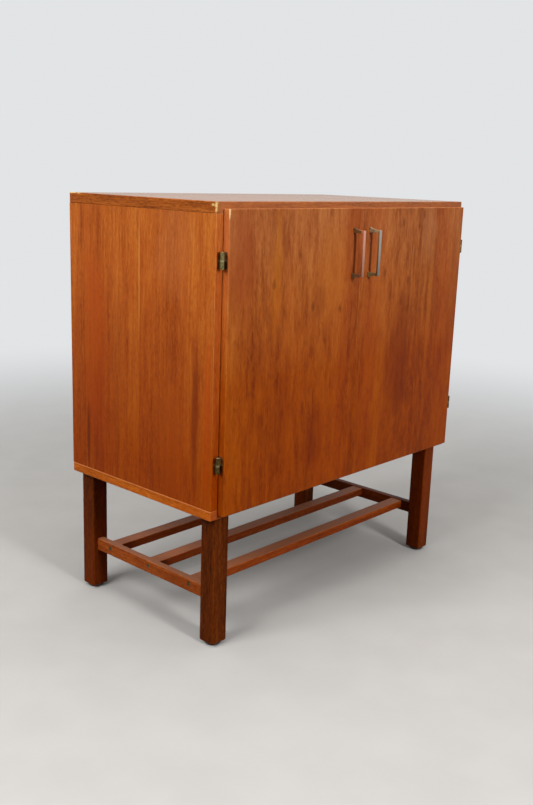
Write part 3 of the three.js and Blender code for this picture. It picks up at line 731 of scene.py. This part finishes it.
# Tones of each hinge: its barrel, the tarnish on it, and the flats of its leaves. The lower hinges
# and those on the right are given darker tones: painted shade
HINGE_SHADED_TONES = {
    "left_upper": dict(barrel=paint(118, 110, 68), dull=paint(82, 75, 42)),
    "left_lower": dict(barrel=paint(84, 68, 30), dull=paint(54, 44, 16)),
    "right_upper": dict(barrel=paint(104, 90, 60), dull=paint(70, 58, 34)),
    "right_lower": dict(barrel=paint(82, 64, 38), dull=paint(48, 36, 16)),
}
HINGE_FLATS = {
    "carcase": dict(above=paint(150, 66, 4), below=paint(112, 70, 22)),
    "door": dict(above=paint(104, 66, 32), below=paint(84, 38, 8)),
}
HINGE_GLINT = paint(190, 172, 126)
# The glint where the knuckles meet: how far it reaches, and how strong it is
GLINT_REACH = (0.0026, 0.0006)
GLINT_STRENGTH = 0.30
# How far either side of its middle the two tones of a flat blend
FLAT_BLEND = 0.001
BRASS_ROUGHNESS = 0.34
# The tarnished flats of a hinge and arms of a pull look less like metal than the rest
HINGE_METALLIC = dict(factor=-0.55, offset=0.85)
PULL_METALLIC = dict(factor=-0.25, offset=0.60)


def pin_middle(hand, level):
    """The middle of a hinge's pin, where its two knuckles meet."""
    low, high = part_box(f"{hand}_{level}_hinge_pin")
    return (low + high) / 2


def hinge_brass(name, pin, barrel, dull, above, below):
    """A leaf: a barrel with a painted highlight on its upward ends and a glint where its knuckles
    meet, partly rubbed brass and partly painted highlight, and a flat of two tones that meet at its
    middle.
    """
    tree = Material(name)
    x, y, rise = tree.parts(tree.vector_math("SUBTRACT", tree.place, tuple(pin)))
    reach = tree.vector_math("LENGTH", tree.vector(x, y, 0.0))
    flat = tree.span(reach, *FLAT_REACH)
    tarnish = tree.span(tree.cloud(*HINGE_CLOUD), *HINGE_TARNISH_EDGE)
    fine = tree.cloud(*SCRATCHES)

    glint = tree.span(tree.math("ABSOLUTE", rise), *GLINT_REACH)
    glint = tree.math("MULTIPLY", glint, GLINT_STRENGTH)
    # Painted highlight: the upward ends of the barrel, and the glint where its knuckles meet
    rubbed = tree.math("MAXIMUM", glint, faced(tree, UP))
    tone = tree.mix(rubbed, tree.mix(tarnish, barrel, dull), HINGE_GLINT)
    strip = tree.mix(tree.span(rise, -FLAT_BLEND, FLAT_BLEND), below, above)
    strip = tree.mix(glint, strip, HINGE_GLINT)

    tree.feed(tree.shader.inputs["Metallic"], tree.scaled(flat, **HINGE_METALLIC))
    rough = total(
        tree, BRASS_ROUGHNESS, tree.math("MULTIPLY", tarnish, HINGE_TARNISH_ROUGHNESS),
        centred(tree, fine, SCRATCH_ROUGHNESS))
    colour = tree.mix(flat, tone, strip)
    return tree.finish(colour, rough, tree.bump(fine, **METAL_BUMP))


# Tones of a pull: the front and the sides of its grip, and its arms at the bottom and the top. The
# grips' front and side tones are painted reflections over their brass
PULLS = {
    "left": dict(
        front=paint(200, 143, 119), side=paint(188, 124, 96),
        arms=(paint(108, 84, 52), paint(112, 76, 38))),
    "right": dict(
        front=paint(155, 153, 144), side=paint(150, 126, 92),
        arms=(paint(136, 116, 70), paint(166, 142, 106))),
}
PULL_TARNISH = paint(62, 52, 26)
# How bright a grip is from its lower end to its upper end: painted light, brighter higher up
PULL_PAINTED_LIGHT = ((0.0, alike(0.55)), (0.5, alike(0.92)), (1.0, alike(1.2)))
GRIP_TARNISH = 0.12
ARM_TARNISH = 0.5
# How far behind a pull's front the look of its grip ends, how far behind that the look
# of the arms is whole, and how far behind the front the arms' tops are still rubbed and given a
# painted highlight
GRIP_REACH = 0.0032
ARM_BLEND = 0.004
RUBBED_AND_LIT_REACH = 0.0187


def pull_brass(node, front, side, arms):
    """A pull whose grip is rubbed brass with painted reflections, brighter higher up, and whose
    arms have gone dark olive.
    """
    tree = Material(f"{node}_brass")
    low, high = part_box(node)
    _, y, z = tree.parts(tree.place)
    tarnish = tree.span(tree.cloud(*TARNISH_CLOUD), *TARNISH_EDGE)
    fine = tree.cloud(*SCRATCHES)
    rise = tree.span(z, low.z, high.z)
    grip_end = low.y + GRIP_REACH

    # The grip: its brass with painted reflections, one tone on its front and another on its sides,
    # brighter higher up
    rubbed = tree.mix(faced(tree, FRONT), side, front)
    rubbed = tree.tint(rubbed, tarnish, GRIP_TARNISH, PULL_TARNISH)
    rubbed = tree.mix(1.0, rubbed, tree.ramp(rise, *PULL_PAINTED_LIGHT), "MULTIPLY")
    olive = tree.tint(tree.mix(rise, *arms), tarnish, ARM_TARNISH, PULL_TARNISH)
    # Rubbing and a painted highlight: the tops of the arms near the grip take the grip's colour
    on_top = tree.math(
        "MULTIPLY", faced(tree, UP), tree.span(y, low.y + RUBBED_AND_LIT_REACH, grip_end))
    arm = tree.math(
        "MULTIPLY", tree.span(y, grip_end, grip_end + ARM_BLEND),
        tree.math("SUBTRACT", 1.0, on_top))

    tree.feed(tree.shader.inputs["Metallic"], tree.scaled(arm, **PULL_METALLIC))
    rough = total(
        tree, BRASS_ROUGHNESS, tree.math("MULTIPLY", arm, ARM_ROUGHNESS),
        centred(tree, fine, SCRATCH_ROUGHNESS))
    return tree.finish(tree.mix(arm, rubbed, olive), rough, tree.bump(fine, **METAL_BUMP))


PLASTIC_CLOUD = (alike(120.0), 3.0)
PLASTIC_CLOUD_EDGE = (0.4, 0.75)
PLASTIC_GRAIN = (alike(2600.0), 2.0)
PLASTIC_BUMP = dict(distance=0.00004, strength=0.6)
PLASTIC_ROUGHNESS = 0.15


def plastic(name, colour, speck, roughness):
    """Moulded plastic with faint clouds and a fine grain."""
    tree = Material(name)
    fine = tree.cloud(*PLASTIC_GRAIN)
    clouds = tree.span(tree.cloud(*PLASTIC_CLOUD), *PLASTIC_CLOUD_EDGE)
    rough = total(tree, roughness, centred(tree, fine, PLASTIC_ROUGHNESS))
    mixed = tree.mix(clouds, colour, speck)
    return tree.finish(mixed, rough, tree.bump(fine, **PLASTIC_BUMP))


def dress_hinges_and_pulls():
    for hand, _ in HANDS:
        apply(f"{hand}_handle", pull_brass(f"{hand}_handle", **PULLS[hand]))
        for level in LEVELS:
            pin = pin_middle(hand, level)
            tones = HINGE_SHADED_TONES[f"{hand}_{level}"]
            for part, flats in HINGE_FLATS.items():
                leaf = f"{hand}_{level}_hinge_{part}_leaf"
                apply(leaf, hinge_brass(f"{leaf}_brass", pin, **tones, **flats))


def dress_fittings():
    """Finish the metal and plastic nodes; the answer has the finishes of the small fasteners."""
    dress_hinges_and_pulls()
    pin = aged_metal("hinge_pin_brass", paint(206, 168, 116), paint(80, 62, 30), 0.3, cover=0.3)
    steel = aged_metal("dull_steel", paint(150, 146, 134), paint(66, 58, 44), 0.38)
    dark_steel = aged_metal("olive_steel", paint(96, 88, 62), paint(36, 30, 20), 0.45)
    brass = aged_metal("screw_brass", paint(168, 156, 96), paint(60, 48, 20), BRASS_ROUGHNESS)
    nylon = plastic("glide_nylon", paint(34, 30, 28), paint(52, 46, 42), 0.5)
    cream = plastic("catch_cream_plastic", paint(224, 216, 196), paint(206, 196, 170), 0.45)
    apply("magnetic_catch", cream)
    for name in nodes:
        if name.endswith("_glide"):
            apply(name, nylon)
        elif name.startswith("slat_") and name.endswith("_screw"):
            apply(name, dark_steel)
        elif "_handle_screw_" in name or name.endswith("_strike_plate"):
            apply(name, steel)
        elif name.endswith("_hinge_pin"):
            apply(name, pin)
    return dict(brass=brass, steel=steel, dark_steel=dark_steel)


# Small fasteners

# How far a flush screw's face is sunk, its slot, and the eased edge of its head in shares of it
SCREW_SINK = 0.00005
SLOT_SHARE = 0.26
SLOT_DEPTH = 0.0006
HEAD_EDGE = 0.06
SCREW_SIDES = 20
PIN_SIDES = 14
PIN_ARC = 4


def revolved(profile, sides):
    """A closed mesh turned about Z from (radius, height) points that start and end on the axis."""
    mesh = bmesh.new()
    turns = [2 * math.pi * k / sides for k in range(sides)]
    rings = []
    for radius, height in profile:
        around = turns if radius else [0.0]
        rings.append([
            mesh.verts.new((radius * math.cos(turn), radius * math.sin(turn), height))
            for turn in around])
    for lower, upper in zip(rings, rings[1:]):
        for k in range(sides):
            after = (k + 1) % sides
            around = ((lower, k), (lower, after), (upper, after), (upper, k))
            corners = [ring[number % len(ring)] for ring, number in around]
            mesh.faces.new(list(dict.fromkeys(corners)))
    bmesh.ops.recalc_face_normals(mesh, faces=mesh.faces)
    return mesh


def to_mesh(name, shape):
    mesh = bpy.data.meshes.new(name)
    shape.to_mesh(mesh)
    shape.free()
    return mesh


def block(size, place=(0, 0, 0)):
    """A box of a size about a place."""
    shape = bmesh.new()
    bmesh.ops.create_cube(shape, size=1.0)
    matrix = Matrix.Translation(place) @ Matrix.Diagonal((*size, 1))
    bmesh.ops.transform(shape, verts=shape.verts, matrix=matrix)
    return shape


def linked(name, data):
    """A new object in the scene, from its mesh, lamp or camera data."""
    item = bpy.data.objects.new(name, data)
    bpy.context.scene.collection.objects.link(item)
    return item


def slotted(name, shape, radius, top):
    """The shape with a driver slot cut across its top."""
    body = linked(name, to_mesh(name, shape))
    slot = block((radius * 3, radius * SLOT_SHARE * 2, SLOT_DEPTH * 2), (0, 0, top))
    cutter = linked(f"{name}_slot", to_mesh(f"{name}_slot", slot))
    cut = body.modifiers.new("slot", "BOOLEAN")
    cut.operation = "DIFFERENCE"
    cut.solver = "EXACT"
    cut.object = cutter
    graph = bpy.context.evaluated_depsgraph_get()
    answer = bpy.data.meshes.new_from_object(body.evaluated_get(graph))
    for item in (body, cutter):
        bpy.data.objects.remove(item)
    return answer


def countersunk_screw(name, head, shank, depth):
    """A flush slotted screw whose head's face is at height 0 and whose shank points down."""
    edge = head * HEAD_EDGE
    profile = [
        (0, -depth), (shank, -depth), (shank, -(head - shank)), (head, -edge),
        (head - edge, 0), (0, 0)]
    return slotted(name, revolved(profile, SCREW_SIDES), head, 0.0)


def domed_pin(head, height, shank, depth):
    """A small nail with a domed head."""
    turns = [math.pi / 2 * k / PIN_ARC for k in range(PIN_ARC)]
    arc = [(head * math.cos(turn), height * math.sin(turn)) for turn in turns]
    profile = [(0, -depth), (shank, -depth), (shank, 0), *arc, (0, height)]
    return revolved(profile, PIN_SIDES)


def placed(name, shape, places, body, material):
    """One piece made of copies of a mesh, each at its own matrix."""
    joined = bmesh.new()
    for matrix in places:
        first = len(joined.verts)
        joined.from_mesh(shape)
        joined.verts.ensure_lookup_table()
        bmesh.ops.transform(joined, verts=joined.verts[first:], matrix=matrix)
    piece = linked(name, to_mesh(name, joined))
    piece.data.materials.clear()
    piece.data.materials.append(material)
    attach(piece, body)


def facing(direction, place, turn=0.0):
    """A matrix that stands a piece's Z along direction at place."""
    rotation = Vector(direction).to_track_quat("Z", "Y").to_matrix().to_4x4()
    return Matrix.Translation(place) @ rotation @ Matrix.Rotation(turn, 4, "Z")


# Hinge screws: how far in from the pin their row is, their heights from its middle, their size
HINGE_SCREW_INNER = 0.005
HINGE_SCREW_STEPS = (-0.008, 0.0, 0.008)
HINGE_SCREW = dict(head=0.00132, shank=0.0006, depth=0.00135)
HINGE_SCREW_SEED = 11


def outer_edge(node, way):
    """The x of a node's side that faces out."""
    low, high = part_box(node)
    return high.x if way > 0 else low.x


def add_hinge_screws(material):
    """Three screws in each leaf, with their slots turned at random."""
    chance = random.Random(HINGE_SCREW_SEED)
    screw = countersunk_screw("hinge_screw", **HINGE_SCREW)
    for hand, way in HANDS:
        side_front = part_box(f"{hand}_side_lipping")[0].y
        door_edge = outer_edge(f"{hand}_door_lipping", way)
        for level in LEVELS:
            pin = pin_middle(hand, level)
            row_x, row_y = pin.x - way * HINGE_SCREW_INNER, pin.y + HINGE_SCREW_INNER
            leaves = (
                ("carcase", FRONT, row_x, side_front + SCREW_SINK, "cabinet"),
                ("door", (way, 0, 0), door_edge - way * SCREW_SINK, row_y, f"{hand}_door"))
            for part, outwards, x, y, body in leaves:
                places = [
                    facing(outwards, (x, y, pin.z + step), chance.uniform(0, math.pi))
                    for step in HINGE_SCREW_STEPS]
                name = f"{hand}_{level}_hinge_{part}_screws"
                placed(name, screw, places, body, material)


BACK_PIN_PITCH = 0.085
BACK_PIN_INSET = 0.005
BACK_PIN = dict(head=0.0014, height=0.0006, shank=0.0006, depth=0.002)


def add_back_pins(material):
    """Pins all round the edge of the back panel."""
    low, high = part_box("back_panel")
    left, right = low.x + BACK_PIN_INSET, high.x - BACK_PIN_INSET
    bottom, top = low.z + BACK_PIN_INSET, high.z - BACK_PIN_INSET

    def steps(start, end):
        count = round((end - start) / BACK_PIN_PITCH)
        return [start + (end - start) * k / count for k in range(count + 1)]

    places = [(x, z) for x in steps(left, right) for z in (bottom, top)]
    places += [(x, z) for z in steps(bottom, top)[1:-1] for x in (left, right)]
    pin = to_mesh("back_pin", domed_pin(**BACK_PIN))
    matrices = [facing(BACK, (x, high.y, z)) for x, z in places]
    placed("back_panel_pins", pin, matrices, "cabinet", material)


# The catch: how far its screws are from its ends, how thick its flanges are as packed,
# and the small pieces about it
CATCH_SCREW_INSET = 0.004
FLANGE_THICKNESS = 0.0024
CATCH_SCREW_HEAD = 0.0028
CATCH_SCREW_TOP = 0.0016
CATCH_SCREW_PROFILE = (
    (0, -0.0020), (0.0014, -0.0020), (0.0014, 0.0), (CATCH_SCREW_HEAD, 0.0),
    (CATCH_SCREW_HEAD, 0.0008), (0.0020, 0.0014), (0, CATCH_SCREW_TOP))
CATCH_SCREW_TURN = 0.6
STRIKE_SCREW = dict(head=0.00130, shank=0.0007, depth=0.0008)
STRIKE_SCREW_TURN = 0.9
MAGNET_SIZE = (0.0134, 0.0008, 0.0054)
MAGNET_INSET = 0.0001
MAGNET_EDGE = 0.0002


def add_catch_screws(steel):
    low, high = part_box("magnetic_catch")
    middle = (low.y + high.y) / 2
    face = high.z - FLANGE_THICKNESS
    head = revolved(CATCH_SCREW_PROFILE, SCREW_SIDES)
    screw = slotted("catch_screw", head, CATCH_SCREW_HEAD, CATCH_SCREW_TOP)
    places = [
        facing(DOWN, (way * (high.x - CATCH_SCREW_INSET), middle, face), way * CATCH_SCREW_TURN)
        for _, way in HANDS]
    placed("catch_screws", screw, places, "cabinet", steel)


def magnet_mesh():
    magnet = block(MAGNET_SIZE)
    bmesh.ops.bevel(
        magnet, geom=magnet.edges[:], offset=MAGNET_EDGE, segments=2, affect="EDGES")
    return to_mesh("magnet", magnet)


def add_catch_fittings(steel):
    """The catch's screws, and for each door a strike plate's screw and the magnet that it meets."""
    add_catch_screws(steel)
    screw = countersunk_screw("strike_screw", **STRIKE_SCREW)
    magnet_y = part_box("magnetic_catch")[0].y + MAGNET_INSET + MAGNET_SIZE[1] / 2
    for hand, _ in HANDS:
        low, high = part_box(f"{hand}_strike_plate")
        middle = (low + high) / 2
        face = facing(BACK, (middle.x, high.y - SCREW_SINK, middle.z), STRIKE_SCREW_TURN)
        placed(f"{hand}_strike_screw", screw, [face], f"{hand}_door", steel)
        seat = Matrix.Translation((middle.x, magnet_y, middle.z))
        placed(f"{hand}_catch_magnet", magnet_mesh(), [seat], "cabinet", steel)


# Studio

# Camera, solved from the cabinet's straight edges in the photograph
CAMERA_PLACE = (-1.31519, -1.15802, 0.76355)
CAMERA_YAW = -47.814
CAMERA_PITCH = 13.666
CAMERA_ROLL = 1.9533
CAMERA_LENS = 42.344
CAMERA_SENSOR = 36.0

LAMPS = {
    "left_window": dict(place=(-2.3, 0.1, 1.9), size=(1.3, 1.2), power=60.0),
    "front_window": dict(place=(-0.48, -2.7, 1.6), size=(0.40, 1.3), power=60.0),
    "ceiling": dict(place=(0.0, -0.2, 2.6), size=(1.8, 1.8), power=22.0),
}
AIM = (0.0, 0.0, 0.55)
# The sky's light grows with its height, from the first strength to the second
SKY_COLOUR = (1.0, 0.99, 0.97, 1.0)
SKY_STRENGTH = (0.06, 0.54)
SKY_RISE = (0.0, 0.7)
BACKGROUND = paint(226, 228, 230)
# The floor fades into the background between two distances
FLOOR_RADIUS = 30.0
FLOOR_SIDES = 96
FLOOR_FADE = (0.6, 2.6)
FLOOR_CLOUD = (alike(9.0), 3.0)
FLOOR_CLOUD_SPAN = (0.3, 0.7, 0.0, 0.05)
FLOOR_PALE = paint(178, 176, 173)
FLOOR_SHADE = paint(74, 56, 46)


def seen(tree):
    """1 for rays from the camera and off gloss or glass, which see the pale studio; else 0."""
    path = tree.add("LightPath")
    kinds = ("Camera", "Glossy", "Transmission")
    rays = total(tree, *(path.outputs[f"Is {kind} Ray"] for kind in kinds))
    return tree.math("MINIMUM", rays, 1.0)


def add_world():
    """A soft sky that lights the object, and a pale background that the camera and gloss see."""
    world = bpy.data.worlds.new("studio")
    bpy.context.scene.world = world
    world.use_nodes = True
    tree = Tree(world.node_tree)
    rise = tree.parts(tree.add("TexCoord").outputs["Generated"])[2]
    light = tree.plain("Background", SKY_COLOUR, tree.span(rise, *SKY_RISE, *SKY_STRENGTH))
    pale = tree.plain("Background", BACKGROUND, 1.0)
    output = tree.add("OutputWorld")
    tree.feed(output.inputs["Surface"], tree.mix_shaders(seen(tree), light, pale))


def floor_material():
    """Pale to the eye, duller in the light that it throws back, and fading out far off."""
    tree = Material("floor")
    tree.nodes.remove(tree.shader)
    cloud = tree.span(tree.cloud(*FLOOR_CLOUD), *FLOOR_CLOUD_SPAN)
    pale = tree.mix(cloud, FLOOR_PALE, FLOOR_SHADE)
    matt = tree.plain("BsdfDiffuse", tree.mix(seen(tree), FLOOR_SHADE, pale))
    far = tree.plain("Emission", BACKGROUND, 1.0)
    away = tree.span(tree.vector_math("LENGTH", tree.place), *FLOOR_FADE)
    mixed = tree.mix_shaders(tree.math("MULTIPLY", away, seen(tree)), matt, far)
    tree.feed(tree.output.inputs["Surface"], mixed)
    return tree.material


def add_floor():
    disc = bmesh.new()
    bmesh.ops.create_circle(disc, cap_ends=True, radius=FLOOR_RADIUS, segments=FLOOR_SIDES)
    floor = linked("floor", to_mesh("floor", disc))
    floor.data.materials.append(floor_material())


def add_lamps():
    for name, lamp in LAMPS.items():
        data = bpy.data.lights.new(name, "AREA")
        data.shape = "RECTANGLE"
        data.size, data.size_y = lamp["size"]
        data.energy = lamp["power"]
        item = linked(name, data)
        item.matrix_world = facing(Vector(lamp["place"]) - Vector(AIM), lamp["place"])
        item.visible_camera = False


def add_camera():
    data = bpy.data.cameras.new("camera")
    data.sensor_width = CAMERA_SENSOR
    data.lens = CAMERA_LENS
    turns = ((CAMERA_YAW, "Z"), (90 - CAMERA_PITCH, "X"), (CAMERA_ROLL, "Z"))
    rotation = Matrix.Identity(4)
    for degrees, axis in turns:
        rotation = rotation @ Matrix.Rotation(math.radians(degrees), 4, axis)
    camera = linked("camera", data)
    camera.matrix_world = Matrix.Translation(CAMERA_PLACE) @ rotation
    bpy.context.scene.camera = camera


bpy.context.scene.view_settings.view_transform = "Standard"
add_camera()
add_world()
add_lamps()
add_floor()
dress_wood()
finishes = dress_fittings()
add_hinge_screws(finishes["brass"])
add_back_pins(finishes["dark_steel"])
add_catch_fittings(finishes["steel"])
